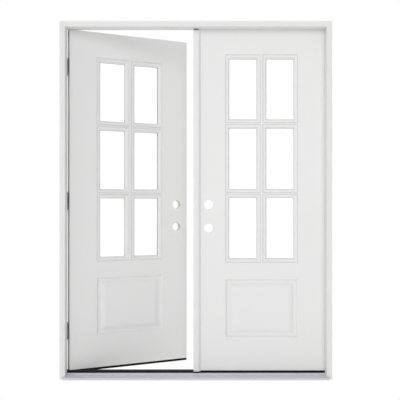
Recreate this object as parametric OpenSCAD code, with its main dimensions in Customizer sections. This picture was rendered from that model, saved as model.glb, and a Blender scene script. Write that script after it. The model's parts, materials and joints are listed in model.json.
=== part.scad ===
// Prehung double door unit: a rabbeted frame on an aluminium sill, an active leaf and a passive
// leaf with a T-astragal. Both leaves swing inward.
// X runs across the unit, +Y runs from the outside to the inside, +Z is up. The origin is on the
// underside of the sill, midway between the jambs, in the plane of their outside faces.

/* [Unit] */
// Overall width across the jambs
unit_w = 1581; // [1380:1:1900]
// Overall height from the jamb feet to the top of the head
unit_h = 2076.5; // [1740:0.5:2500]
// Depth of the jambs, outside face to inside face
jamb_depth = 116; // [105:1:170]
// How far the active leaf stands open
open_angle = 26; // [0:1:160]

/* [Frame] */
// Thickness of the side jambs at the rabbet
jamb_t = 19; // [15:0.5:30]
// How far the stops stand in from the side jambs
stop_t = 12.7; // [10:0.1:20]
// Thickness of the head jamb at the rabbet
head_t = 25; // [20:0.5:40]
// How far the stop hangs below the head jamb
head_stop = 7.7; // [6:0.1:15]
// Distance of the milled line from the outer edge of the frame
line_inset = 19; // [14:0.5:24]
// Gap between the back of the stop and the leaf, filled by the weatherstrip
seal_gap = 7.5; // [5:0.5:12]
// Width of the kerf that holds the weatherstrip
kerf_w = 3; // [2:0.2:4]
// Depth of the kerf that holds the weatherstrip
kerf_d = 10; // [8:0.5:14]

/* [Sill] */
// How far the sill's nosing stands out from the jambs
nosing = 27; // [15:1:50]
// Height of the deck at its front edge
deck_front_h = 13; // [11:0.5:16]
// Height of the deck at the foot of its riser
deck_back_h = 17; // [16.5:0.5:20]
// Height of the deck's riser
riser_h = 5.5; // [4:0.5:10]
// Thickness of the deck's aluminium wall
deck_t = 2; // [1.5:0.1:3]
// Height of the threshold cap's top
cap_top = 30; // [25:0.5:36]

/* [Leaves] */
// Thickness of a leaf
slab_t = 44.5; // [36:0.5:57]
// Gap between the hinge edge and the jamb, and between the active leaf and the astragal
hinge_gap = 3.2; // [2.5:0.1:4]
// Gap between the leaf and the head jamb
head_gap = 4.5; // [3:0.5:6]
// Gap between the leaf and the threshold cap, filled by the sweep
sill_gap = 4; // [4:0.5:14]
// Thickness of the moulded skins
skin_t = 2; // [1.5:0.1:3]
// Face width of the stiles, edge to glazing
stile_w = 166; // [130:1:200]
// Face width of the top rail
top_rail_w = 148.7; // [110:0.1:180]
// Face width of the rail between glazing and panel
mid_rail_w = 94.9; // [70:0.1:140]
// Face width of the bottom rail
bottom_rail_w = 193.2; // [150:0.1:240]
// Height of the raised panel
panel_h = 346; // [280:0.1:450]
// Width of the wood stile inside the hinge edge
hinge_stile_w = 44; // [40:1:60]
// Width of the wood stile inside the lock edge
lock_stile_w = 110; // [105:1:125]
// Height of the wood rails inside the top and bottom edges
end_rail_h = 38; // [30:1:60]

/* [Glazing] */
// Columns of lites
lite_cols = 2; // [1:1:3]
// Rows of lites
lite_rows = 3; // [2:1:5]
// Flat width of the upright bar between the quirks
bar_v = 9; // [6:0.1:25]
// Flat width of the level bars between the quirks
bar_h = 4; // [4:0.1:25]
// Width of the moulding from its outer quirk to the glass
sticking_w = 28; // [22:0.5:32]
// Depth from the face to the glass
glass_depth = 14; // [12:0.5:15]
// Thickness of one pane
pane_t = 3.2; // [3:0.1:4]
// How far the glass unit's edge sits inside the outer quirk
glass_inset = 8; // [6:0.5:10]
// Width of the spacer round the glass unit
spacer_w = 9; // [6:0.5:10]

/* [Locks] */
// Height of the lock bore above the leaf's bottom edge
lock_h = 838; // [700:1:950]
// Distance of the deadbolt bore above the lock bore
lock_spacing = 139.7; // [120:0.1:160]
// Distance of the bores from the leaf's lock edge
backset = 69.5; // [60:0.1:72]
// Radius of the lock bores
lock_r = 27; // [24:0.1:28]
// Radius of the latch bores
latch_r = 12.7; // [10:0.1:13]
// Depth of the latch plate's mortise
latch_plate_t = 3.5; // [2:0.1:5]
// Depth of the strike pockets in the passive leaf
strike_depth = 16; // [12:1:24]

/* [Hinges] */
// Height of a hinge
hinge_h = 101.6; // [88:0.1:115]
// Width of a hinge leaf from the pin
hinge_leaf_w = 44; // [36:0.5:50]
// Thickness of a hinge leaf
hinge_t = 2.5; // [2:0.1:3]
// Corner radius of a hinge leaf
hinge_corner_r = 15.9; // [6:0.1:20]
// Radius of the knuckle
knuckle_r = 6.3; // [5.5:0.1:7]
// Radius of the hinge pin
pin_r = 3; // [2.5:0.1:3.5]
// Distance of the pin past the leaf's inside face
pin_out = 6.6; // [6.6:0.1:9]
// Distance of the top hinge's middle from the leaf's top
hinge_top_inset = 213; // [150:1:300]
// Distance of the bottom hinge's middle from the leaf's bottom
hinge_bottom_inset = 224; // [150:1:300]
// Distance of the middle hinge below the midpoint of the other two
hinge_mid_drop = 13; // [0:1:40]
// Length of a hinge screw
screw_len = 16; // [12:1:17]
// Radius of a hinge screw
screw_r = 2.1; // [1.8:0.1:2.5]

/* [Astragal] */
// Gap between the two leaves' edges
meeting_gap = 12.7; // [11.5:0.1:18]
// How far the flange reaches past the passive leaf's edge
flange_out = 20.4; // [18:0.1:26]
// How far the flange reaches over the passive leaf's face
flange_in = 10.2; // [6:0.1:16]
// How far the flange's sloped side reaches over the passive leaf's face
slope_in = 22.6; // [18:0.1:30]
// Thickness of the flange
flange_t = 14; // [10:0.5:18]
// Thickness of the sloped side at its foot
toe_t = 1; // [0.8:0.1:3]
// Radius of the flange's front corner
flange_r = 4.5; // [2:0.5:6]
// Depth of the astragal's own seal
astragal_seal_t = 5; // [3:0.5:7]
// Radius of the flush bolts
bolt_r = 2.8; // [2.5:0.1:3]
// Length of the flush bolts
bolt_len = 230; // [150:1:300]
// Travel of the flush bolts
bolt_travel = 20; // [15:1:22]
// Thickness of the bolts' strike and guide plates
plate_t = 1.2; // [1:0.1:1.5]
// Thickness of the pad above the astragal
top_pad_t = 3; // [2:0.5:5]

/* [Clearances] */
// Clearance between a soft seal and what it seals against
seal_clear = 0.3; // [0.2:0.1:0.6]
// Radial clearance of the hinge pins
pin_clear = 0.05; // [0.03:0.01:0.1]
// Clearance between the knuckles
knuckle_clear = 0.3; // [0.2:0.1:0.5]
// Clearance of screws, mortises and let-in plates
fit_clear = 0.05; // [0.03:0.01:0.2]
// Radial clearance of the flush bolts
bolt_clear = 0.3; // [0.2:0.1:0.5]
// Clearance between the astragal and the parts above and below it
astragal_clear = 0.6; // [0.4:0.1:1]

/* [Hidden] */
LEAVES = ["active", "passive"];
HINGES = ["bottom", "middle", "top"];
LEAF_PARTS = ["exterior_skin", "interior_skin", "exterior_lite_frame", "interior_lite_frame",
    "outer_pane", "inner_pane", "glass_spacer", "hinge_stile", "lock_stile", "top_rail",
    "bottom_rail", "foam_core", "sweep", "hinge_screws", "hinge_pins"];

WHITE = "whitesmoke";
BLACK = "#1b1b1d";
ALUMINIUM = "#cfcfd3";
NICKEL = "#a8a9ad";
WOOD = "burlywood";
ROUND = 64;      // facets of round holes and pins
ARC = 8;         // steps along a moulded curve
CUT = 1;         // how far a cutter runs past the face it cuts

half_open = unit_w / 2 - jamb_t;                 // middle to the side rabbets
stop_depth = jamb_depth - slab_t - seal_gap;     // outside face to the back of the stops
slab_w = half_open - hinge_gap - meeting_gap / 2;
slab_y = jamb_depth - slab_t;                    // the leaves' inside faces are flush with the jambs
slab_z = cap_top + sill_gap;
slab_h = unit_h - head_t - head_gap - slab_z;
head_under = unit_h - head_t;                    // underside of the head jamb at its rabbet
stop_under = head_under - head_stop;             // underside of the head's stop
pin_x = -hinge_gap / 2;                          // hinge pin, in a leaf's own frame
pin_y = slab_t + pin_out;

arris = 1;
line_w = 2.6;
line_d = 1.6;
kerf_x = 2;                                      // rabbet to kerf

cap_front = stop_depth - 2;                      // front of the cap, just under the stops
riser_y = cap_front - 14;                        // front of the deck's riser
cap_seat = deck_back_h + riser_h - deck_t;       // the cap stands on the sill base at this height

glaze_w = slab_w - 2 * stile_w;
glaze_z = bottom_rail_w + panel_h + mid_rail_w;
glaze_h = slab_h - top_rail_w - glaze_z;
lite_w = (glaze_w - (lite_cols - 1) * bar_v) / lite_cols;
lite_h = (glaze_h - (lite_rows - 1) * bar_h) / lite_rows;
quirk_w = 6;
quirk_foot = 5;                                  // outer edge to the bottom of the quirk
quirk_d = 5;
strip_d = 0.8;                                   // the flat strip lies this far below the face
slope_w = 11.5;                                  // slope from the strip down to the glass
panel_depth = 13;
cove_w = 14;                                     // outer slope of the raised panel
groove_w = 12;                                   // flat of the panel's groove
bevel_w = 30;                                    // bevel that rises to the panel's field
field_d = 0.8;

post_w = meeting_gap - hinge_gap;
post_bottom = cap_top + astragal_clear - slab_z;
post_top = head_under - astragal_clear - slab_z;
flange_top = stop_under - top_pad_t - astragal_clear - slab_z;
bolt_u = slab_w + post_w / 2;
bolt_v = slab_t / 2;
channel_r = bolt_r + bolt_clear;
guide_h = 24;
guide_w = 18;
bolt_back = 1;                                   // drawn-back bolts lie this far inside the post
tab_h = 14;
strike_r = bolt_r + 2.2;                         // holes that take the bolts

hinge_zs = [hinge_bottom_inset,
    (slab_h - hinge_top_inset + hinge_bottom_inset) / 2 - hinge_mid_drop,
    slab_h - hinge_top_inset];
screw_spots = [[13, 36], [25, 14], [25, -14], [13, -36]];   // from the leaf's far edge, from its middle
screw_head_r = 4.2;
screw_head_h = 2.1;
knuckles = 5;
DOOR_KNUCKLES = [1, 3];
JAMB_KNUCKLES = [0, 2, 4];

// ---------- placing ----------

// A leaf's own frame: X from its hinge edge, Y from its outside face, Z from its bottom edge
module at_left() translate([-half_open + hinge_gap, slab_y, slab_z]) children();

module at_right() mirror([1, 0, 0]) at_left() children();

module swung_open() translate([pin_x, pin_y, 0]) rotate([0, 0, open_angle])
    translate([-pin_x, -pin_y, 0]) children();

module on_leaf(leaf) {
    if (leaf == "active") at_left() swung_open() children();
    if (leaf == "passive") at_right() children();
}

module on_jamb(leaf) {
    if (leaf == "active") at_left() children();
    if (leaf == "passive") at_right() children();
}

module on_sides() {
    children();
    mirror([1, 0, 0]) children();
}

// Turns a leaf piece drawn on the outside face onto the inside face
module inside_face() translate([0, slab_t, 0]) mirror([0, 1, 0]) children();

// ---------- helpers ----------

// A (Y, Z) outline drawn out along X
module along_x(from, to) translate([from, 0, 0]) rotate([90, 0, 90])
    linear_extrude(to - from) children();

// Points of an S-curve from a to b, level at both ends
function ogee(a, b) = [for (i = [0 : ARC]) let (t = i / ARC)
    [a[0] + (b[0] - a[0]) * t, a[1] + (b[1] - a[1]) * (1 - cos(180 * t)) / 2]];

// Points of a hollow from a to b, steep at a and level at b
function scoop(a, b) = [for (i = [0 : ARC]) let (t = i / ARC)
    [a[0] + (b[0] - a[0]) * t, b[1] + (a[1] - b[1]) * pow(1 - t, 2)]];

function mirrored(half, profile) = concat([for (p = profile) [p[0] - half, p[1]]],
    [for (i = [len(profile) - 1 : -1 : 0]) [half - profile[i][0], profile[i][1]]]);

// A rectangular moulding with mitred corners, whose section is a list of [inset, depth]
module mould(half_w, half_h, profile) intersection() {
    translate([0, 0, -half_h - 10]) linear_extrude(2 * half_h + 20)
        polygon(mirrored(half_w, profile));
    rotate([0, 90, 0]) translate([0, 0, -half_w - 10]) linear_extrude(2 * half_w + 20)
        polygon(mirrored(half_h, profile));
}

function grown(profile, by) = [for (p = profile) [p[0] + by[0], p[1] + by[1]]];

module each_lite() for (col = [0 : lite_cols - 1]) for (row = [0 : lite_rows - 1])
    translate([stile_w + lite_w / 2 + col * (lite_w + bar_v), 0,
        glaze_z + lite_h / 2 + row * (lite_h + bar_h)]) children();

module at_panel() translate([slab_w / 2, 0, bottom_rail_w + panel_h / 2]) children();

module at_locks() for (h = [lock_h, lock_h + lock_spacing]) translate([slab_w, 0, h]) children();

module through_y(r, from, to) translate([0, from, 0]) rotate([-90, 0, 0])
    cylinder(r = r, h = to - from, $fn = ROUND);

module through_x(r, from, to) translate([from, 0, 0]) rotate([0, 90, 0])
    cylinder(r = r, h = to - from, $fn = ROUND);

// ---------- frame ----------

// Plan of the left jamb: board, milled line, stop and kerf
module jamb_plan() {
    outer = -unit_w / 2;
    rabbet = -half_open;
    edge = rabbet + stop_t;
    kerf = rabbet + kerf_x;
    polygon([[outer, 0], [outer + line_inset - line_w / 2, 0], [outer + line_inset, line_d],
        [outer + line_inset + line_w / 2, 0], [edge - arris, 0], [edge, arris], [edge, stop_depth],
        [kerf + kerf_w, stop_depth], [kerf + kerf_w, stop_depth - kerf_d],
        [kerf, stop_depth - kerf_d], [kerf, stop_depth], [rabbet, stop_depth],
        [rabbet, jamb_depth - arris], [rabbet - arris, jamb_depth], [outer, jamb_depth]]);
}

module side_jamb(leaf) color(WHITE) difference() {
    linear_extrude(unit_h) jamb_plan();
    sill_envelope();
    head_envelope();
    at_left() for (z = hinge_zs) translate([0, 0, z]) jamb_side() hinge_recess();
}

module left_jamb() side_jamb();

module right_jamb() mirror([1, 0, 0]) side_jamb();

// Section of the head: board, milled line, stop and kerf
module head_section() {
    kerf = head_under - kerf_x;
    polygon([[0, unit_h], [0, unit_h - line_inset + line_w / 2], [line_d, unit_h - line_inset],
        [0, unit_h - line_inset - line_w / 2], [0, stop_under + arris], [arris, stop_under],
        [stop_depth, stop_under], [stop_depth, kerf - kerf_w],
        [stop_depth - kerf_d, kerf - kerf_w], [stop_depth - kerf_d, kerf], [stop_depth, kerf],
        [stop_depth, head_under], [jamb_depth - arris, head_under],
        [jamb_depth, head_under + arris], [jamb_depth, unit_h]]);
}

module head_envelope() along_x(-half_open, half_open) {
    translate([-CUT, stop_under]) square([stop_depth + CUT, unit_h]);
    translate([-CUT, head_under]) square([jamb_depth + 2 * CUT, unit_h]);
}

module head_jamb() color(WHITE) difference() {
    along_x(-half_open, half_open) head_section();
    at_right() translate([0, 0, head_under - slab_z]) strike_recess();
}

// Top line of the deck, front to back, followed by the line under its wall
deck_top = [[-nosing, 0], [-nosing, deck_front_h - 3], [-nosing + 2, deck_front_h],
    [riser_y, deck_back_h], [riser_y, deck_back_h + riser_h - arris],
    [riser_y + arris, deck_back_h + riser_h], [cap_front, deck_back_h + riser_h]];
deck_under = [[-nosing + deck_t, 0], [-nosing + deck_t, deck_front_h - 3],
    [-nosing + 2 + deck_t / 2, deck_front_h - deck_t], [riser_y + deck_t, deck_back_h - deck_t],
    [riser_y + deck_t, cap_seat], [cap_front, cap_seat]];

module sill_deck() color(ALUMINIUM) along_x(-half_open, half_open)
    polygon(concat(deck_top, [for (i = [len(deck_under) - 1 : -1 : 0]) deck_under[i]]));

module sill_base() color(WOOD) difference() {
    along_x(-half_open, half_open)
        polygon(concat(deck_under, [[jamb_depth, cap_seat], [jamb_depth, 0]]));
    sill_bolt_hole();
}

module cap_section() {
    round_off = 1.5;
    polygon([[cap_front, cap_seat], [cap_front, cap_top - 2 * round_off],
        [cap_front + round_off / 2, cap_top - round_off / 2], [cap_front + 2 * round_off, cap_top],
        [jamb_depth - 2 * round_off, cap_top], [jamb_depth, cap_top - round_off],
        [jamb_depth, cap_seat]]);
}

module threshold_cap() color(BLACK) difference() {
    along_x(-half_open, half_open) cap_section();
    sill_bolt_hole();
    at_right() translate([0, 0, cap_top - slab_z]) mirror([0, 0, 1]) strike_recess();
}

// Everything the sill fills, for coping the stops and the pads over it
module sill_envelope() along_x(-half_open, half_open) {
    polygon(concat([[-nosing, -CUT]], deck_top, [[cap_front, -CUT]]));
    translate([cap_front, -CUT]) square([jamb_depth - cap_front + CUT, CUT + cap_top - 3]);
    cap_section();
}

// Weatherstrip section: X from the rabbet, Y from the back of the stop; a foam bulb and its tongue
module seal_plan(width) {
    reach = seal_gap - seal_clear;
    bulb_r = 3;
    translate([seal_clear, 0]) square([width - bulb_r, reach]);
    translate([seal_clear, 0]) square([width, reach - bulb_r]);
    translate([seal_clear + width - bulb_r, reach - bulb_r]) circle(r = bulb_r, $fn = ROUND);
    translate([kerf_x + fit_clear, -kerf_d + 1]) square([kerf_w - 2 * fit_clear, kerf_d]);
}

module side_weatherstrip() color("gainsboro") translate([-half_open, stop_depth, cap_top])
    linear_extrude(head_under - head_stop - cap_top) seal_plan(stop_t - 2 * seal_clear);

module left_weatherstrip() side_weatherstrip();

module right_weatherstrip() mirror([1, 0, 0]) side_weatherstrip();

module head_weatherstrip() color("gainsboro") translate([0, stop_depth, head_under])
    rotate([0, 90, 0]) translate([0, 0, -half_open]) linear_extrude(2 * half_open)
    seal_plan(head_stop - 2 * seal_clear);

// Foam pads low in the rabbets, where the weatherstrip meets the sill
module corner_pads() color(BLACK) on_sides()
    translate([-half_open, slab_y + 2, cap_top]) cube([hinge_gap - 0.7, 26, 48]);

// Pads that close the ends of the astragal: one under the head's stop, one on the sill
module astragal_pads() color(BLACK) {
    at_right() translate([0, 0, stop_under - slab_z - top_pad_t]) linear_extrude(top_pad_t) pad_plan();
    difference() {
        at_right() translate([0, 0, deck_front_h - slab_z])
            linear_extrude(cap_top - seal_clear - deck_front_h) pad_plan();
        sill_envelope();
    }
}

// The pads' outline, whose front bows out a little past the flange
module pad_plan() {
    half = (flange_out + flange_in) / 2;
    nose_r = 1.3 * half;
    back = stop_depth - slab_y;
    translate([slab_w + flange_out - half, 0]) {
        translate([-half, -flange_t]) square([2 * half, back + flange_t]);
        intersection() {
            translate([0, sqrt(nose_r * nose_r - half * half) - flange_t])
                circle(r = nose_r, $fn = ROUND);
            translate([-half, -flange_t - half]) square([2 * half, half + CUT]);
        }
    }
}

// ---------- flush bolt strikes ----------

module strike_outline() translate([bolt_u - 7, bolt_v - 14]) square([14, 28]);

// Recess and hole above a face that lies at Z = 0
module strike_recess() {
    translate([0, 0, -CUT]) linear_extrude(plate_t + CUT) strike_outline();
    translate([bolt_u, bolt_v, -CUT])
        cylinder(r = strike_r, h = bolt_travel + 3 + CUT, $fn = ROUND);
}

module strike_plate() difference() {
    linear_extrude(plate_t) strike_outline();
    translate([bolt_u, bolt_v, -CUT]) cylinder(r = strike_r, h = plate_t + 2 * CUT, $fn = ROUND);
}

module sill_bolt_hole() at_right() translate([bolt_u, bolt_v, cap_top - slab_z - bolt_travel - 3])
    cylinder(r = strike_r, h = bolt_travel + 3 + CUT, $fn = ROUND);

module bolt_strikes() color(NICKEL) at_right() {
    translate([0, 0, head_under - slab_z]) strike_plate();
    translate([0, 0, cap_top - slab_z]) mirror([0, 0, 1]) strike_plate();
}

// ---------- leaf ----------

cove = ogee([0, 0], [cove_w, panel_depth]);
dish = concat([[0, -CUT]], cove);
dish_back = concat([[-skin_t, 0]], grown(cove, [-skin_t, skin_t]));
field = let (foot = cove_w + groove_w, rise = scoop([foot, panel_depth], [foot + bevel_w, field_d]))
    concat([for (i = [ARC : -1 : 0]) rise[i]], [[foot, panel_depth + CUT]]);
field_back = grown(field, [skin_t, skin_t]);

module panel_back() difference() {
    at_panel() mould(glaze_w / 2, panel_h / 2, dish_back);
    at_panel() mould(glaze_w / 2, panel_h / 2, field_back);
}

module lock_bores() at_locks() translate([-backset, 0, 0]) through_y(lock_r, -CUT, slab_t + CUT);

module glazing_hole() translate([stile_w, -CUT, glaze_z]) cube([glaze_w, slab_t + 2 * CUT, glaze_h]);

module skin() color(WHITE) difference() {
    union() {
        cube([slab_w, skin_t, slab_h]);
        at_panel() mould(glaze_w / 2, panel_h / 2, dish_back);
    }
    difference() {
        at_panel() mould(glaze_w / 2, panel_h / 2, dish);
        at_panel() mould(glaze_w / 2, panel_h / 2, field);
    }
    at_panel() mould(glaze_w / 2, panel_h / 2, field_back);
    glazing_hole();
    lock_bores();
}

module exterior_skin() skin();

module interior_skin() difference() {
    inside_face() skin();
    for (z = hinge_zs) translate([0, 0, z]) hinge_recess();
}

// Air in front of one pane: strip, eased slope and a short upright to the glass
lite_air = [[quirk_w, -CUT], [quirk_w, strip_d], [sticking_w - slope_w - arris, strip_d],
    [sticking_w - slope_w, strip_d + arris / 2], [sticking_w, glass_depth - arris / 2],
    [sticking_w, glass_depth + CUT]];
quirk_outer = [[0, -CUT], [0, 0], [quirk_foot, quirk_d]];
quirk_inner = [[quirk_w, -CUT], [quirk_w, 0], [quirk_foot, quirk_d]];

module lite_cut() {
    mould(lite_w / 2, lite_h / 2, lite_air);
    difference() {
        mould(lite_w / 2, lite_h / 2, quirk_outer);
        mould(lite_w / 2, lite_h / 2, quirk_inner);
    }
}

module lite_frame() color(WHITE) difference() {
    translate([stile_w, 0, glaze_z]) cube([glaze_w, glass_depth, glaze_h]);
    each_lite() lite_cut();
}

module exterior_lite_frame() lite_frame();

module interior_lite_frame() inside_face() lite_frame();

module pane() color("lightcyan", 0.4) translate([stile_w + glass_inset, glass_depth, glaze_z + glass_inset])
    cube([glaze_w - 2 * glass_inset, pane_t, glaze_h - 2 * glass_inset]);

module outer_pane() pane();

module inner_pane() inside_face() pane();

// Spacer round the edge of the glass unit, with shadow bars behind the bars between the lites
module glass_spacer() {
    gap = slab_t - 2 * (glass_depth + pane_t);
    edge = glass_inset + 2;
    shadow_bar_w = 18;
    color("silver") translate([0, glass_depth + pane_t, 0]) {
        difference() {
            translate([stile_w + edge, 0, glaze_z + edge])
                cube([glaze_w - 2 * edge, gap, glaze_h - 2 * edge]);
            translate([stile_w + edge + spacer_w, -CUT, glaze_z + edge + spacer_w])
                cube([glaze_w - 2 * (edge + spacer_w), gap + 2 * CUT, glaze_h - 2 * (edge + spacer_w)]);
        }
        for (col = [1 : 1 : lite_cols - 1])
            translate([stile_w + col * (lite_w + bar_v) - bar_v / 2 - shadow_bar_w / 2, 0,
                glaze_z + edge]) cube([shadow_bar_w, gap, glaze_h - 2 * edge]);
        for (row = [1 : 1 : lite_rows - 1])
            translate([stile_w + edge, 0,
                glaze_z + row * (lite_h + bar_h) - bar_h / 2 - shadow_bar_w / 2])
                cube([glaze_w - 2 * edge, gap, shadow_bar_w]);
    }
}

module inner_block(u, z, w, h) translate([u, skin_t, z]) cube([w, slab_t - 2 * skin_t, h]);

module hinge_stile() color(WOOD) difference() {
    inner_block(0, 0, hinge_stile_w, slab_h);
    for (z = hinge_zs) translate([0, 0, z]) hinge_recess();
}

// A plate let into an edge, with round ends
module latch_plate_plan() for (z = [-1, 1]) {
    translate([bolt_v, z * 16]) circle(r = latch_r, $fn = ROUND);
    translate([bolt_v - latch_r, -16]) square([2 * latch_r, 32]);
}

module latch_prep() at_locks() {
    translate([0, bolt_v, 0]) through_x(latch_r, -backset, CUT);
    rotate([90, 0, 90]) translate([0, 0, -latch_plate_t]) linear_extrude(latch_plate_t + CUT)
        latch_plate_plan();
}

module strike_pockets() at_locks() translate([0, bolt_v, 0])
    through_x(latch_r, -strike_depth, post_w + CUT);

module lock_stile(leaf) color(WOOD) difference() {
    inner_block(slab_w - lock_stile_w, 0, lock_stile_w, slab_h);
    lock_bores();
    if (leaf == "active") latch_prep();
    if (leaf == "passive") strike_pockets();
}

module end_rail(z) inner_block(hinge_stile_w, z, slab_w - hinge_stile_w - lock_stile_w, end_rail_h);

module top_rail() color(WOOD) end_rail(slab_h - end_rail_h);

barb_w = 2;
barb_h = 6;
barb_vs = [10, slab_t - 10];
module bottom_rail() color(WOOD) difference() {
    end_rail(0);
    for (v = barb_vs) translate([0, v - barb_w / 2 - fit_clear, -CUT])
        cube([slab_w, barb_w + 2 * fit_clear, barb_h + CUT]);
}

module foam_core() color("khaki") difference() {
    inner_block(hinge_stile_w, end_rail_h, slab_w - hinge_stile_w - lock_stile_w, slab_h - 2 * end_rail_h);
    glazing_hole();
    panel_back();
    inside_face() panel_back();
}

// Sweep: a plate under the leaf, four fins down to the cap and two barbs up into the rail
module sweep() {
    fin_w = 1.6;
    plate = 2.5;
    end = 1;
    drop = sill_gap - 0.4;
    color(BLACK) {
        along_x(end, slab_w - end) {
            translate([fin_w / 2, -plate]) square([slab_t - fin_w, plate]);
            for (i = [0 : 3]) translate([fin_w / 2 + i * (slab_t - 2 * fin_w) / 3, -drop])
                square([fin_w, drop]);
        }
        along_x(hinge_stile_w + end, slab_w - lock_stile_w - end) for (v = barb_vs)
            translate([v - barb_w / 2, -plate]) square([barb_w, plate + barb_h - 0.5]);
    }
}

// ---------- hinges ----------

// Mirrors a hinge part from the leaf's edge onto the jamb
module jamb_side() translate([-hinge_gap, 0, 0]) mirror([1, 0, 0]) children();

// Outline of a hinge leaf in (Y, Z), from its far edge to the pin, grown by g
module hinge_outline(g) {
    r = min(hinge_corner_r, hinge_h / 2 - 1) + g;
    far = pin_y - hinge_leaf_w - g;
    half = hinge_h / 2 + g;
    translate([far + r, -half]) square([hinge_leaf_w - r + g, 2 * half]);
    translate([far, -half + r]) square([r, 2 * half - 2 * r]);
    for (z = [-1, 1]) translate([far + r, z * (half - r)]) circle(r = r, $fn = ROUND);
}

module at_screws() for (s = screw_spots)
    translate([0, pin_y - hinge_leaf_w + s[0], s[1] * hinge_h / 101.6]) rotate([0, 90, 0]) children();

module screw_shape(g) {
    cylinder(r1 = screw_head_r + g, r2 = screw_r + g, h = screw_head_h, $fn = 32);
    cylinder(r = screw_r + g, h = screw_len + g, $fn = 32);
}

module screw() difference() {
    screw_shape(0);
    for (a = [0, 90]) rotate([0, 0, a]) translate([-2.2, -0.45, -CUT]) cube([4.4, 0.9, CUT + 1.4]);
}

// Mortise for one hinge leaf, with its screw holes
module hinge_recess() {
    along_x(-CUT, hinge_t) {
        hinge_outline(fit_clear);
        translate([pin_y - CUT, -hinge_h / 2 - fit_clear]) square([2 * CUT, hinge_h + 2 * fit_clear]);
    }
    at_screws() screw_shape(fit_clear);
}

module knuckle(k, r, g) {
    step = hinge_h / knuckles;
    translate([pin_x, pin_y, -hinge_h / 2 + k * step + (knuckle_clear / 2 - g)])
        cylinder(r = r, h = step - knuckle_clear + 2 * g, $fn = ROUND);
}

module hinge_leaf(mine, others) color(NICKEL) difference() {
    union() {
        along_x(0, hinge_t) hinge_outline(0);
        for (k = mine) knuckle(k, knuckle_r, 0);
    }
    for (k = others) knuckle(k, knuckle_r + knuckle_clear, knuckle_clear);
    translate([pin_x, pin_y, -hinge_h]) cylinder(r = pin_r + pin_clear, h = 2 * hinge_h, $fn = ROUND);
    at_screws() screw_shape(fit_clear);
}

module door_hinge_leaf() hinge_leaf(DOOR_KNUCKLES, JAMB_KNUCKLES);

module jamb_hinge_leaf() jamb_side() hinge_leaf(JAMB_KNUCKLES, DOOR_KNUCKLES);

// Pin with a button head that rests on the top knuckle
module hinge_pin() color(NICKEL) translate([pin_x, pin_y, 0]) {
    tip = 2;
    translate([0, 0, -hinge_h / 2 - tip]) cylinder(r = pin_r, h = hinge_h + tip, $fn = ROUND);
    translate([0, 0, hinge_h / 2 - knuckle_clear / 2]) {
        cylinder(r = knuckle_r - 1, h = 1.6, $fn = ROUND);
        translate([0, 0, 1.6]) cylinder(r1 = knuckle_r - 1, r2 = knuckle_r - 3, h = 1.4, $fn = ROUND);
    }
}

module hinge_pins() for (z = hinge_zs) translate([0, 0, z]) hinge_pin();

module hinge_screws() color(NICKEL) for (z = hinge_zs) translate([0, 0, z]) at_screws() screw();

module jamb_hinge_screws() on_sides() at_left() color(NICKEL)
    for (z = hinge_zs) translate([0, 0, z]) jamb_side() at_screws() screw();

// ---------- astragal and flush bolts ----------

function arc(centre, r, from, to) = [for (i = [0 : ARC]) let (a = from + (to - from) * i / ARC)
    [centre[0] + r * cos(a), centre[1] + r * sin(a)]];

module astragal_plan() {
    tip = slab_w + flange_out;
    heel = slab_w - flange_in;
    toe = slab_w - slope_in;
    polygon(concat([[slab_w, 0], [slab_w + post_w, 0], [slab_w + post_w, -astragal_seal_t],
        [tip, -astragal_seal_t]],
        arc([tip - flange_r, -flange_t + flange_r], flange_r, 0, -90),
        [[heel + arris, -flange_t], [heel, -flange_t + arris / 2], [toe, -toe_t], [toe, 0]]));
}

module post_plan() translate([slab_w, 0]) square([post_w, slab_t]);

// Places a bolt part drawn for the top end at either end of the astragal
module at_top_end() translate([0, 0, post_top]) children();

module at_bottom_end() translate([0, 0, post_bottom]) mirror([0, 0, 1]) children();

module at_ends() {
    at_top_end() children();
    at_bottom_end() children();
}

guide_zs = [-24 - guide_h, -bolt_back - bolt_len + 10];

module guide_outline() translate([bolt_v - guide_w / 2, 0]) square([guide_w, guide_h]);

module guide(g) for (z = guide_zs) translate([0, 0, z])
    along_x(slab_w + post_w - plate_t, slab_w + post_w + g) guide_outline();

module bolt_channel() {
    length = bolt_len + bolt_back + 6;
    translate([bolt_u - channel_r, bolt_v - channel_r, -length])
        cube([post_w, 2 * channel_r, length + CUT]);
    guide(CUT);
}

module astragal() color(WHITE) at_right() difference() {
    union() {
        translate([0, 0, post_bottom]) linear_extrude(post_top - post_bottom) post_plan();
        translate([0, 0, post_bottom]) linear_extrude(flange_top - post_bottom) astragal_plan();
    }
    strike_pockets();
    at_ends() bolt_channel();
}

module astragal_seal() {
    w = flange_out - post_w - 2;
    bulb_r = 2;
    t = astragal_seal_t - seal_clear;
    color("gainsboro") at_right() translate([slab_w + post_w + 1, -astragal_seal_t, post_bottom])
        linear_extrude(flange_top - post_bottom) {
            square([w, t - bulb_r]);
            translate([bulb_r, 0]) square([w - 2 * bulb_r, t]);
            for (x = [bulb_r, w - bulb_r]) translate([x, t - bulb_r]) circle(r = bulb_r, $fn = ROUND);
        }
}

module bolt_guides() color(NICKEL) at_right() at_ends() guide(0);

module flush_bolt() color(NICKEL) {
    translate([bolt_u, bolt_v, -bolt_back - bolt_len]) cylinder(r = bolt_r, h = bolt_len, $fn = ROUND);
    translate([bolt_u, bolt_v - bolt_r + 0.3, -bolt_back - bolt_len / 2 - tab_h])
        cube([post_w / 2 - 0.4, 2 * bolt_r - 0.6, tab_h]);
}

module top_bolt() at_right() at_top_end() flush_bolt();

module bottom_bolt() at_right() at_bottom_end() flush_bolt();

// ---------- nodes ----------

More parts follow.
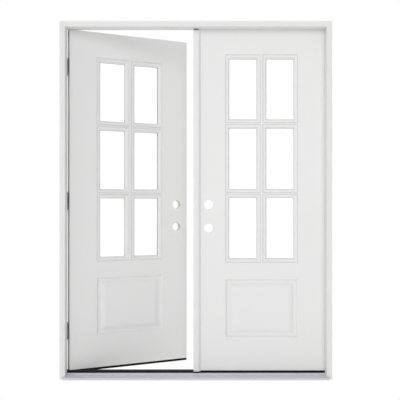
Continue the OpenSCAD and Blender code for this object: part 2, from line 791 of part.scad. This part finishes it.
module leaf_part(leaf, part) {
    if (part == "exterior_skin") on_leaf(leaf) exterior_skin();
    if (part == "interior_skin") on_leaf(leaf) interior_skin();
    if (part == "exterior_lite_frame") on_leaf(leaf) exterior_lite_frame();
    if (part == "interior_lite_frame") on_leaf(leaf) interior_lite_frame();
    if (part == "outer_pane") on_leaf(leaf) outer_pane();
    if (part == "inner_pane") on_leaf(leaf) inner_pane();
    if (part == "glass_spacer") on_leaf(leaf) glass_spacer();
    if (part == "hinge_stile") on_leaf(leaf) hinge_stile();
    if (part == "lock_stile") on_leaf(leaf) lock_stile(leaf);
    if (part == "top_rail") on_leaf(leaf) top_rail();
    if (part == "bottom_rail") on_leaf(leaf) bottom_rail();
    if (part == "foam_core") on_leaf(leaf) foam_core();
    if (part == "sweep") on_leaf(leaf) sweep();
    if (part == "hinge_screws") on_leaf(leaf) hinge_screws();
    if (part == "hinge_pins") on_jamb(leaf) hinge_pins();
}

left_jamb();
right_jamb();
head_jamb();
sill_base();
sill_deck();
threshold_cap();
left_weatherstrip();
right_weatherstrip();
head_weatherstrip();
corner_pads();
astragal_pads();
bolt_strikes();
jamb_hinge_screws();
astragal();
astragal_seal();
bolt_guides();
top_bolt();
bottom_bolt();

for (leaf = LEAVES) for (part = LEAF_PARTS)
    leaf_part(leaf, part);

for (leaf = LEAVES) for (i = [0 : 2]) {
    on_jamb(leaf) translate([0, 0, hinge_zs[i]]) jamb_hinge_leaf();
    on_leaf(leaf) translate([0, 0, hinge_zs[i]]) door_hinge_leaf();
}
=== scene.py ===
"""Looks of a prehung double door unit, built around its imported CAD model."""
import json
import math

import bmesh
import bpy
from mathutils import Matrix, Vector


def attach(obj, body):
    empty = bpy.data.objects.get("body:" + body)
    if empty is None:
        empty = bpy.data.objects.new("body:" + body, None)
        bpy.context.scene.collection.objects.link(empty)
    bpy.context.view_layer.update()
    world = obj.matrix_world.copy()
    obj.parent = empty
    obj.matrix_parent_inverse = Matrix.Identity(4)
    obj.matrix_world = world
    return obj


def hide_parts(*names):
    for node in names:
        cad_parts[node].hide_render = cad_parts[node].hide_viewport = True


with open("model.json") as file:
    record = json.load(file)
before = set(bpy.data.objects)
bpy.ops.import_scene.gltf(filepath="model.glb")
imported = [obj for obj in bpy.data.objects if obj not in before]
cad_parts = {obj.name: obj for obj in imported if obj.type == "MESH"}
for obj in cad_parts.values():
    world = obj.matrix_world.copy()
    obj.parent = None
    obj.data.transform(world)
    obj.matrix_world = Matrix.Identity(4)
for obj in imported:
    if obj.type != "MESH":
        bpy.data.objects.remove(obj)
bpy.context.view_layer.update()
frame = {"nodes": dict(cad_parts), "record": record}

MM = 0.001
nodes = frame["nodes"]
scene = bpy.context.scene
LEAVES = ("active", "passive")


# ---------- shader helpers ----------

def plug(tree, socket, value):
    """Sets a socket, or links another node's output to it."""
    if isinstance(value, bpy.types.NodeSocket):
        tree.links.new(value, socket)
    elif value is not None:
        socket.default_value = value


def put(tree, kind, sockets=(), **settings):
    """A new node with its settings and its sockets, which go by name or number."""
    made = tree.nodes.new("ShaderNode" + kind)
    for key, value in settings.items():
        setattr(made, key, value)
    for key, value in dict(sockets).items():
        plug(tree, made.inputs[key], value)
    return made


def calc(tree, operation, a, b=None, c=None):
    """The result of one sum on one, two or three values."""
    made = put(tree, "Math", {0: a, 1: b, 2: c}, operation=operation)
    return made.outputs[0]


def blend_colors(tree, mask, first, second):
    """First color where the mask is 0, second where it is 1."""
    made = put(tree, "Mix", {0: mask, 6: first, 7: second}, data_type="RGBA")
    return made.outputs[2]


def span(tree, value, low, high, to_low=0.0, to_high=1.0):
    """Value stretched from low..high onto to_low..to_high, and held there."""
    made = put(tree, "MapRange", {0: value, 1: low, 2: high, 3: to_low, 4: to_high})
    return made.outputs[0]


def noise(tree, place, size, detail=2.0, roughness=0.5):
    """Soft noise whose lumps are about size metres across."""
    made = put(tree, "TexNoise", {"Vector": place, "Scale": 1 / size, "Detail": detail,
                                  "Roughness": roughness})
    return made.outputs["Fac"]


def stretched(tree, place, scale, turn=0.0):
    """Place, scaled along each axis and turned about Z."""
    return put(tree, "Mapping", {"Vector": place, "Scale": scale, "Rotation": (0, 0, turn)}
               ).outputs[0]


def place_of(tree):
    """Place on the object, in metres."""
    return put(tree, "TexCoord").outputs["Object"]


# ---------- shared effects ----------

def new_group(name, takes, gives):
    """An empty node group: takes and gives are lists of (name, kind, default)."""
    group = bpy.data.node_groups.new(name, "ShaderNodeTree")
    for side, rows in (("INPUT", takes), ("OUTPUT", gives)):
        for label, kind, default in rows:
            made = group.interface.new_socket(label, in_out=side, socket_type="NodeSocket" + kind)
            if default is not None:
                made.default_value = default
    entry = group.nodes.new("NodeGroupInput")
    leave = group.nodes.new("NodeGroupOutput")
    return group, entry.outputs, leave.inputs


def make_relief():
    """Fine lumps, such as roller stipple or orange peel, as a normal and a mask."""
    group, take, give = new_group(
        "surface relief",
        [("Place", "Vector", None), ("Size", "Float", 1 * MM), ("Height", "Float", 0.02 * MM)],
        [("Normal", "Vector", None), ("Mask", "Float", None)])
    scale = calc(group, "DIVIDE", 1.0, take["Size"])
    lumps = put(group, "TexNoise", {"Vector": take["Place"], "Scale": scale, "Detail": 3.0,
                                    "Roughness": 0.55}).outputs["Fac"]
    bump = put(group, "Bump", {"Strength": 1.0, "Distance": take["Height"], "Height": lumps})
    plug(group, give["Normal"], bump.outputs[0])
    plug(group, give["Mask"], lumps)
    return group


def make_handling():
    """Broad patches and a few faint smears, as left by handling and wiping."""
    group, take, give = new_group(
        "handling",
        [("Place", "Vector", None), ("Patch", "Float", 0.12), ("Low", "Float", 0.35),
         ("High", "Float", 0.5)],
        [("Value", "Float", None), ("Mask", "Float", None)])
    scale = calc(group, "DIVIDE", 1.0, take["Patch"])
    patches = put(group, "TexNoise", {"Vector": take["Place"], "Scale": scale, "Detail": 4.0,
                                      "Roughness": 0.6, "Distortion": 0.3}).outputs["Fac"]
    mask = span(group, patches, 0.35, 0.65)
    width = calc(group, "SUBTRACT", take["High"], take["Low"])
    plug(group, give["Value"], calc(group, "MULTIPLY_ADD", mask, width, take["Low"]))
    plug(group, give["Mask"], mask)
    return group


def make_lines():
    """Long fine lines, such as those of extruding, brushing or planing, as a normal and a mask.
    Place is already stretched along them."""
    group, take, give = new_group(
        "long lines",
        [("Place", "Vector", None), ("Height", "Float", 0.01 * MM)],
        [("Normal", "Vector", None), ("Mask", "Float", None)])
    lines = put(group, "TexNoise", {"Vector": take["Place"], "Scale": 1.0, "Detail": 4.0,
                                    "Roughness": 0.65}).outputs["Fac"]
    bump = put(group, "Bump", {"Strength": 1.0, "Distance": take["Height"], "Height": lines})
    plug(group, give["Normal"], bump.outputs[0])
    plug(group, give["Mask"], lines)
    return group


def make_grain():
    """Plain-sawn wood grain along Z of Place, as a colour mask and a height."""
    group, take, give = new_group(
        "wood grain", [("Place", "Vector", None)],
        [("Mask", "Float", None), ("Height", "Float", None)])
    wide = stretched(group, take["Place"], (60.0, 60.0, 3.0))
    rings = put(group, "TexWave", {"Vector": wide, "Scale": 1.3, "Distortion": 5.0, "Detail": 3.0,
                                   "Detail Scale": 1.2}, wave_type="BANDS",
                bands_direction="X").outputs["Fac"]
    pores = noise(group, stretched(group, take["Place"], (1600.0, 1600.0, 30.0)), 1.0, 2.0)
    mixed = calc(group, "MULTIPLY_ADD", pores, 0.35, calc(group, "MULTIPLY", rings, 0.65))
    plug(group, give["Mask"], rings)
    plug(group, give["Height"], mixed)
    return group


RELIEF = make_relief()
HANDLING = make_handling()
LINES = make_lines()
GRAIN = make_grain()


def use(tree, group, **sockets):
    made = tree.nodes.new("ShaderNodeGroup")
    made.node_tree = group
    for key, value in sockets.items():
        plug(tree, made.inputs[key], value)
    return made.outputs


# ---------- materials ----------

def new_material(name, **constants):
    """A material, its tree and its shader, with the shader's plain values set on its sockets."""
    made = bpy.data.materials.new(name)
    made.use_nodes = True
    tree = made.node_tree
    shader = tree.nodes["Principled BSDF"]
    for key, value in constants.items():
        shader.inputs[key.replace("_", " ")].default_value = value
    return made, tree, shader.inputs


def white_coat(name, white, shade, lump, height, rough, along=None, line_height=0.0):
    """White primer or moulded white: a little cloudy in colour, darker in the low points of its relief as
    painted shade, with its own relief and sheen.
    along stretches place into lines where the piece was rolled, planed or extruded."""
    made, tree, shader = new_material(name, IOR=1.48, Specular_IOR_Level=0.45)
    place = place_of(tree)
    relief = use(tree, RELIEF, Place=place, Size=lump, Height=height)
    handling = use(tree, HANDLING, Place=place, Patch=0.16, Low=rough[0], High=rough[1])
    cloud = span(tree, noise(tree, place, 0.35, 3.0), 0.3, 0.7)
    # Painted shade: the low points of the relief are tinted darker.
    hollow_shade = span(tree, relief["Mask"], 0.2, 0.45, 0.35, 0.0)
    tint = blend_colors(tree, calc(tree, "MULTIPLY", calc(tree, "ADD", cloud, hollow_shade), 0.6),
                        white, shade)
    normal = relief["Normal"]
    if along:
        lines = use(tree, LINES, Place=stretched(tree, place, along), Height=line_height)
        pair = put(tree, "VectorMath", {0: normal, 1: lines["Normal"]}, operation="ADD")
        normal = put(tree, "VectorMath", {0: pair.outputs[0]}, operation="NORMALIZE").outputs[0]
    plug(tree, shader["Base Color"], tint)
    plug(tree, shader["Roughness"], handling["Value"])
    plug(tree, shader["Normal"], normal)
    return made


def make_glass():
    made, tree, shader = new_material("clear_glass", IOR=1.5, Transmission_Weight=1.0,
                                      Metallic=0.0)
    place = place_of(tree)
    wiped = use(tree, HANDLING, Place=place, Patch=0.09, Low=0.0, High=0.012)
    film = noise(tree, stretched(tree, place, (1.0, 1.0, 0.4)), 0.03, 4.0)
    plug(tree, shader["Roughness"], wiped["Value"])
    plug(tree, shader["Base Color"], blend_colors(tree, span(tree, film, 0.4, 0.75),
                                                  (0.985, 1.0, 0.995, 1), (0.965, 0.985, 0.98, 1)))
    return made


def make_spacer():
    """White box-section spacer with its two rows of small vent holes, drawn as darker dots of painted
    shade.
    """
    made, tree, shader = new_material("spacer_white", IOR=1.45)
    place = place_of(tree)
    dots = put(tree, "TexVoronoi", {"Vector": place, "Scale": 260.0, "Randomness": 0.0}
               ).outputs["Distance"]
    # Painted shade: darker dots stand for the shade inside the vent holes.
    hole_shade = span(tree, dots, 0.16, 0.22, 1.0, 0.0)
    relief = use(tree, RELIEF, Place=place, Size=2 * MM, Height=0.02 * MM)
    plug(tree, shader["Base Color"], blend_colors(tree, calc(tree, "MULTIPLY", hole_shade, 0.25),
                                                  (0.84, 0.84, 0.83, 1), (0.3, 0.3, 0.3, 1)))
    plug(tree, shader["Roughness"], span(tree, relief["Mask"], 0.3, 0.7, 0.35, 0.5))
    plug(tree, shader["Normal"], relief["Normal"])
    return made


def make_primed_wood():
    """Primed wood edge: the grain still shows a little through the primer."""
    made, tree, shader = new_material("primed_stile", IOR=1.48, Specular_IOR_Level=0.4)
    place = place_of(tree)
    grain = use(tree, GRAIN, Place=place)
    handling = use(tree, HANDLING, Place=place, Patch=0.1, Low=0.45, High=0.62)
    bump = put(tree, "Bump", {"Strength": 0.6, "Distance": 0.06 * MM, "Height": grain["Height"]})
    plug(tree, shader["Base Color"], blend_colors(tree, calc(tree, "MULTIPLY", grain["Mask"], 0.3),
                                                  (0.80, 0.795, 0.78, 1), (0.74, 0.725, 0.69, 1)))
    plug(tree, shader["Roughness"], handling["Value"])
    plug(tree, shader["Normal"], bump.outputs[0])
    return made


def make_foam_core():
    made, tree, shader = new_material("core_foam", IOR=1.4, Roughness=0.85)
    place = place_of(tree)
    cells = put(tree, "TexVoronoi", {"Vector": place, "Scale": 900.0}).outputs["Distance"]
    cloud = noise(tree, place, 0.05, 3.0)
    bump = put(tree, "Bump", {"Strength": 0.8, "Distance": 0.3 * MM, "Height": cells})
    plug(tree, shader["Base Color"], blend_colors(tree, cloud, (0.80, 0.72, 0.46, 1),
                                                  (0.70, 0.61, 0.36, 1)))
    plug(tree, shader["Normal"], bump.outputs[0])
    return made


def make_substrate():
    """Composite sill substrate: wood flour in plastic, with darker flecks along it."""
    made, tree, shader = new_material("sill_substrate", IOR=1.45)
    place = place_of(tree)
    flecks = span(tree, noise(tree, stretched(tree, place, (220.0, 900.0, 900.0)), 1.0, 3.0),
                  0.45, 0.7)
    handling = use(tree, HANDLING, Place=place, Patch=0.05, Low=0.55, High=0.75)
    relief = use(tree, RELIEF, Place=place, Size=0.8 * MM, Height=0.08 * MM)
    plug(tree, shader["Base Color"], blend_colors(tree, flecks, (0.17, 0.135, 0.10, 1),
                                                  (0.07, 0.05, 0.038, 1)))
    plug(tree, shader["Roughness"], handling["Value"])
    plug(tree, shader["Normal"], relief["Normal"])
    return made


def make_sill_metal():
    """Satin anodised aluminium with extrusion lines along the sill and a little traffic wear."""
    made, tree, shader = new_material("mill_aluminium", Metallic=0.3, Anisotropic=0.3)
    place = place_of(tree)
    lines = use(tree, LINES, Place=stretched(tree, place, (1.5, 1400.0, 1400.0)),
                Height=0.02 * MM)
    handling = use(tree, HANDLING, Place=place, Patch=0.07, Low=0.36, High=0.48)
    wear = span(tree, noise(tree, stretched(tree, place, (60.0, 400.0, 400.0)), 1.0, 4.0),
                0.62, 0.74, 0.0, 0.5)
    anodised = blend_colors(tree, lines["Mask"], (0.66, 0.655, 0.69, 1), (0.72, 0.715, 0.745, 1))
    plug(tree, shader["Base Color"], blend_colors(tree, wear, anodised, (0.54, 0.54, 0.56, 1)))
    plug(tree, shader["Roughness"], handling["Value"])
    plug(tree, shader["Normal"], lines["Normal"])
    return made


def make_black(name, dark, light, rough, lump, height, along):
    """Black vinyl or rubber: faint lines along it and a thin bloom of dust."""
    made, tree, shader = new_material(name, IOR=1.45, Specular_IOR_Level=0.12)
    place = place_of(tree)
    lines = use(tree, LINES, Place=stretched(tree, place, along), Height=0.03 * MM)
    relief = use(tree, RELIEF, Place=place, Size=lump, Height=height)
    dust = calc(tree, "MULTIPLY", span(tree, noise(tree, place, 0.03, 5.0, 0.65), 0.45, 0.8),
                span(tree, relief["Mask"], 0.4, 0.65))
    pair = put(tree, "VectorMath", {0: relief["Normal"], 1: lines["Normal"]}, operation="ADD")
    normal = put(tree, "VectorMath", {0: pair.outputs[0]}, operation="NORMALIZE").outputs[0]
    plug(tree, shader["Base Color"], blend_colors(tree, dust, dark, light))
    plug(tree, shader["Roughness"], span(tree, lines["Mask"], 0.3, 0.7, *rough))
    plug(tree, shader["Normal"], normal)
    return made


def make_seal():
    """Vinyl-skinned foam weatherstrip: soft cross creases and a slightly mottled skin."""
    made, tree, shader = new_material("foam_seal", IOR=1.45, Roughness=0.6,
                                      Subsurface_Weight=0.15, Subsurface_Radius=(1, 1, 1),
                                      Subsurface_Scale=1.5 * MM)
    place = place_of(tree)
    creases = noise(tree, stretched(tree, place, (90.0, 90.0, 420.0)), 1.0, 3.0)
    relief = use(tree, RELIEF, Place=place, Size=0.7 * MM, Height=0.03 * MM)
    bump = put(tree, "Bump", {"Strength": 0.7, "Distance": 0.35 * MM, "Height": creases,
                              "Normal": relief["Normal"]})
    plug(tree, shader["Base Color"], blend_colors(tree, relief["Mask"], (0.80, 0.80, 0.79, 1),
                                                  (0.73, 0.73, 0.72, 1)))
    plug(tree, shader["Normal"], bump.outputs[0])
    return made


def make_nickel():
    """Satin nickel: brushed lines, a soft haze and tiny bright rub marks."""
    made, tree, shader = new_material("satin_nickel", Metallic=0.7)
    place = place_of(tree)
    brush = use(tree, LINES, Place=stretched(tree, place, (5200.0, 5200.0, 160.0)),
                Height=0.012 * MM)
    handling = use(tree, HANDLING, Place=place, Patch=0.014, Low=0.26, High=0.42)
    rub = span(tree, noise(tree, stretched(tree, place, (900.0, 900.0, 240.0)), 1.0, 3.0),
               0.66, 0.78)
    plated = blend_colors(tree, brush["Mask"], (0.52, 0.535, 0.57, 1), (0.68, 0.69, 0.73, 1))
    plug(tree, shader["Base Color"], blend_colors(tree, rub, plated, (0.72, 0.73, 0.75, 1)))
    plug(tree, shader["Roughness"], handling["Value"])
    plug(tree, shader["Normal"], brush["Normal"])
    return made


WHITE = (0.83, 0.83, 0.83, 1)
FINISHES = {
    # The side jambs' primer is a little darker than the head's copy of the same primer: painted shade for
    # the jambs and their reveals.
    "primed_frame": white_coat("primed_frame", (0.81, 0.81, 0.805, 1), (0.785, 0.785, 0.775, 1), 1.1 * MM,
                               0.035 * MM, (0.42, 0.55), (500.0, 500.0, 6.0), 0.02 * MM),
    "primed_head": white_coat("primed_head", WHITE, (0.815, 0.815, 0.80, 1), 1.1 * MM,
                              0.035 * MM, (0.42, 0.55), (6.0, 500.0, 500.0), 0.02 * MM),
    "primed_skin": white_coat("primed_skin", WHITE, (0.82, 0.82, 0.81, 1), 1.8 * MM, 0.03 * MM,
                              (0.36, 0.48)),
    "primed_lite_frame": white_coat("primed_lite_frame", WHITE, (0.83, 0.83, 0.825, 1), 0.7 * MM,
                                    0.012 * MM, (0.30, 0.40)),
    "primed_astragal": white_coat("primed_astragal", (0.81, 0.81, 0.81, 1),
                                  (0.79, 0.79, 0.785, 1), 1.4 * MM, 0.015 * MM, (0.30, 0.38),
                                  (900.0, 900.0, 2.0), 0.012 * MM),
    "clear_glass": make_glass(),
    "spacer_aluminium": make_spacer(),
    "stile_wood": make_primed_wood(),
    "core_foam": make_foam_core(),
    "sill_substrate": make_substrate(),
    "mill_aluminium": make_sill_metal(),
    "black_cap": make_black("black_cap", (0.004, 0.004, 0.0045, 1), (0.012, 0.012, 0.012, 1),
                            (0.5, 0.62), 1.2 * MM, 0.03 * MM, (3.0, 800.0, 800.0)),
    "foam_seal": make_seal(),
    "black_rubber": make_black("black_rubber", (0.012, 0.012, 0.012, 1), (0.03, 0.029, 0.028, 1),
                               (0.55, 0.7), 0.6 * MM, 0.04 * MM, (3.0, 500.0, 500.0)),
    "satin_nickel": make_nickel(),
}


def finish_node(name, material, bevel=None):
    """Gives a CAD node its material, and eased edges where the real ones are."""
    shown = nodes[name]
    for place in shown.material_slots:
        place.material = material
    if not shown.material_slots:
        shown.data.materials.append(material)
    if bevel:
        eased = shown.modifiers.new("eased_edges", "BEVEL")
        eased.width = bevel
        eased.segments = 2
        eased.limit_method = "ANGLE"
        eased.angle_limit = math.radians(40)
        eased.harden_normals = False


slot_of = {row["node"]: row["material_slot"] for row in frame["record"]["subparts"]}
EASED = {"primed_frame": 0.3 * MM, "primed_astragal": 0.3 * MM, "mill_aluminium": 0.4 * MM}
for leaf in LEAVES:
    for pane in ("outer_pane", "inner_pane"):
        nodes[f"{leaf}_{pane}"].visible_shadow = False
        nodes[f"{leaf}_{pane}"].visible_diffuse = False
for name in nodes:
    finish = FINISHES["primed_head" if name == "head_jamb" else slot_of[name]]
    finish_node(name, finish, EASED.get(slot_of[name]))


# ---------- soft sweeps ----------

HALF_OPEN, HINGE_GAP, OPEN_ANGLE = 771.5 * MM, 3.2 * MM, math.radians(26)
SLAB_W, SLAB_T, SLAB_Y, SLAB_Z = 761.95 * MM, 44.5 * MM, 71.5 * MM, 34 * MM
SWEEP_INSET, FIN_EDGE, CAP_CLEAR = 1 * MM, 0.8, 0.3
CAP_FRONT, CAP_TOP, JAMB_DEPTH = 62 * MM, 30 * MM, 116 * MM
PIN = (-HINGE_GAP / 2, SLAB_T + 6.6 * MM, 0)


def leaf_frame(leaf):
    """A leaf's own frame at rest: X from its hinge edge, Y from its outside face."""
    at_left = Matrix.Translation((HINGE_GAP - HALF_OPEN, SLAB_Y, SLAB_Z))
    if leaf == "passive":
        return Matrix.Scale(-1, 4, (1, 0, 0)) @ at_left
    to_pin = Matrix.Translation(PIN)
    return at_left @ to_pin @ Matrix.Rotation(OPEN_ANGLE, 4, "Z") @ to_pin.inverted()


def sweep_section():
    """A plate with four fins that hang from it and lean back a little towards their tips."""
    fin, plate, hang = 1.7, 2.5, 14.0
    thick = SLAB_T / MM
    rows = [(FIN_EDGE, 0), (thick - FIN_EDGE, 0)]
    for i in (3, 2, 1, 0):
        y = FIN_EDGE + i * (thick - 2 * FIN_EDGE - fin) / 3
        rows += [(y + fin, -plate), (y + fin + 0.3, -hang * 0.6), (y + fin + 0.9, -hang + 0.5),
                 (y + fin + 0.5, -hang), (y + 0.9, -hang), (y + 0.6, -hang + 0.5),
                 (y + 0.1, -hang * 0.6), (y, -plate)]
    return rows


def extruded(name, rows, from_x, to_x, matrix):
    """A solid with a (Y, Z) outline in millimetres, drawn out along X."""
    shape = bmesh.new()
    ends = [[shape.verts.new((x, y * MM, z * MM)) for y, z in rows] for x in (from_x, to_x)]
    for i in range(len(rows)):
        j = (i + 1) % len(rows)
        shape.faces.new((ends[0][i], ends[0][j], ends[1][j], ends[1][i]))
    for end in ends:
        shape.faces.new(end)
    shape.transform(matrix)
    bmesh.ops.recalc_face_normals(shape, faces=shape.faces)
    mesh = bpy.data.meshes.new(name)
    shape.to_mesh(mesh)
    shape.free()
    made = bpy.data.objects.new(name, mesh)
    scene.collection.objects.link(made)
    return made


def make_cap_room():
    """The room that the threshold cap takes, which is cut out of the sweeps' fins."""
    front, back, top = CAP_FRONT / MM, JAMB_DEPTH / MM, CAP_TOP / MM + CAP_CLEAR
    rows = [(front, 0), (back, 0), (back, top), (front, top)]
    room = extruded("cap_room", rows, -HALF_OPEN, HALF_OPEN, Matrix.Identity(4))
    room.hide_render = True
    room.display_type = "WIRE"
    return room


def make_sweep(leaf, room):
    """The soft sweep under a leaf, which takes the place of the rigid one."""
    sweep = extruded(leaf + "_soft_sweep", sweep_section(), SWEEP_INSET, SLAB_W - SWEEP_INSET,
                     leaf_frame(leaf))
    sweep.data.materials.append(FINISHES["black_rubber"])
    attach(sweep, leaf + "_door")
    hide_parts(leaf + "_sweep")
    trimmed = sweep.modifiers.new("clear_of_cap", "BOOLEAN")
    trimmed.operation = "DIFFERENCE"
    trimmed.solver = "EXACT"
    trimmed.object = room


cap_room = make_cap_room()
for leaf in LEAVES:
    make_sweep(leaf, cap_room)


# ---------- floor, light and camera ----------

FLOOR_GLOW, FLOOR_REACH = 0.15, 9.0
THROUGH_GLASS = 1.24


def seen_white(tree, other):
    """Plain white as the camera sees it, and as it sees it through glass, else other."""
    rays = put(tree, "LightPath").outputs
    through = put(tree, "Mix", {0: rays["Is Transmission Ray"], 2: other, 3: THROUGH_GLASS}).outputs[0]
    return put(tree, "Mix", {0: rays["Is Camera Ray"], 2: through, 3: 1.0}).outputs[0]


def make_floor():
    """A plain pale floor that spreads well past the unit."""
    mesh = bpy.data.meshes.new("floor")
    reach = FLOOR_REACH
    corners = [(-reach, -reach, 0), (reach, -reach, 0), (reach, reach, 0), (-reach, reach, 0)]
    mesh.from_pydata(corners, [], [(0, 1, 2, 3)])
    floor = bpy.data.objects.new("floor", mesh)
    scene.collection.objects.link(floor)
    made, tree, shader = new_material("pale_floor", Roughness=0.7)
    cloud = noise(tree, place_of(tree), 1.5, 2.0)
    plug(tree, shader["Base Color"], blend_colors(tree, cloud, (0.84, 0.84, 0.84, 1),
                                                  (0.86, 0.86, 0.86, 1)))
    white = {"Color": (1, 1, 1, 1)}
    glow = put(tree, "Emission", {**white, "Strength": FLOOR_GLOW}).outputs[0]
    lit = put(tree, "AddShader", {0: tree.nodes["Principled BSDF"].outputs[0], 1: glow}).outputs[0]
    plain = put(tree, "Emission", {**white, "Strength": seen_white(tree, 1.0)}).outputs[0]
    rays = put(tree, "LightPath").outputs
    seen = calc(tree, "MAXIMUM", rays["Is Camera Ray"], rays["Is Transmission Ray"])
    both = put(tree, "MixShader", {0: seen, 1: lit, 2: plain})
    plug(tree, tree.nodes["Material Output"].inputs[0], both.outputs[0])
    mesh.materials.append(made)


LOBES = {"left": 0.95, "right": 0.3, "front": 0.12, "back": 0.7, "above": 0.5}


def make_world():
    """Pale surroundings, a little brighter on some sides, with a white backdrop."""
    world = bpy.data.worlds.new("studio")
    world.use_nodes = True
    tree = world.node_tree
    tree.nodes.clear()
    way = put(tree, "TexCoord").outputs["Generated"]
    parts = put(tree, "SeparateXYZ", {0: way}).outputs
    toward = {"left": ("X", -1.0), "right": ("X", 1.0), "front": ("Y", -1.0), "back": ("Y", 1.0),
              "above": ("Z", 1.0)}
    level = 0.0
    for side, (axis, sign) in toward.items():
        lobe = calc(tree, "MAXIMUM", calc(tree, "MULTIPLY", parts[axis], sign), 0.0)
        level = calc(tree, "MULTIPLY_ADD", lobe, LOBES[side], level)
    light = put(tree, "Background", {"Color": (1, 1, 1, 1), "Strength": seen_white(tree, level)})
    put(tree, "OutputWorld", {0: light.outputs[0]})
    scene.world = world


LAMPS = {"front": 0.95}
LAMP_WAYS = {"front": (0.0, 1.0, -0.2)}
LAMP_SPREAD = math.radians(40)


def soft_lamp(side):
    """A broad distant lamp, as soft as a large diffuser."""
    data = bpy.data.lights.new(side + "_lamp", "SUN")
    data.energy = LAMPS[side]
    data.angle = LAMP_SPREAD
    lamp = bpy.data.objects.new(side + "_lamp", data)
    scene.collection.objects.link(lamp)
    lamp.rotation_euler = Vector(LAMP_WAYS[side]).to_track_quat("-Z", "Y").to_euler()


make_floor()
make_world()
for side in LAMPS:
    soft_lamp(side)

CAMERA_PLACE = (0.0241, -4.014, 1.0107)
SENSOR, LENS, RISE = 36.0, 62.35, 0.0119

camera = bpy.data.objects.new("camera", bpy.data.cameras.new("camera"))
scene.collection.objects.link(camera)
camera.location = CAMERA_PLACE
camera.rotation_euler = (math.pi / 2, 0, 0)
camera.data.sensor_width = SENSOR
camera.data.lens = LENS
camera.data.shift_y = RISE
scene.camera = camera
scene.view_settings.view_transform = "Standard"
scene.view_settings.look = "None"
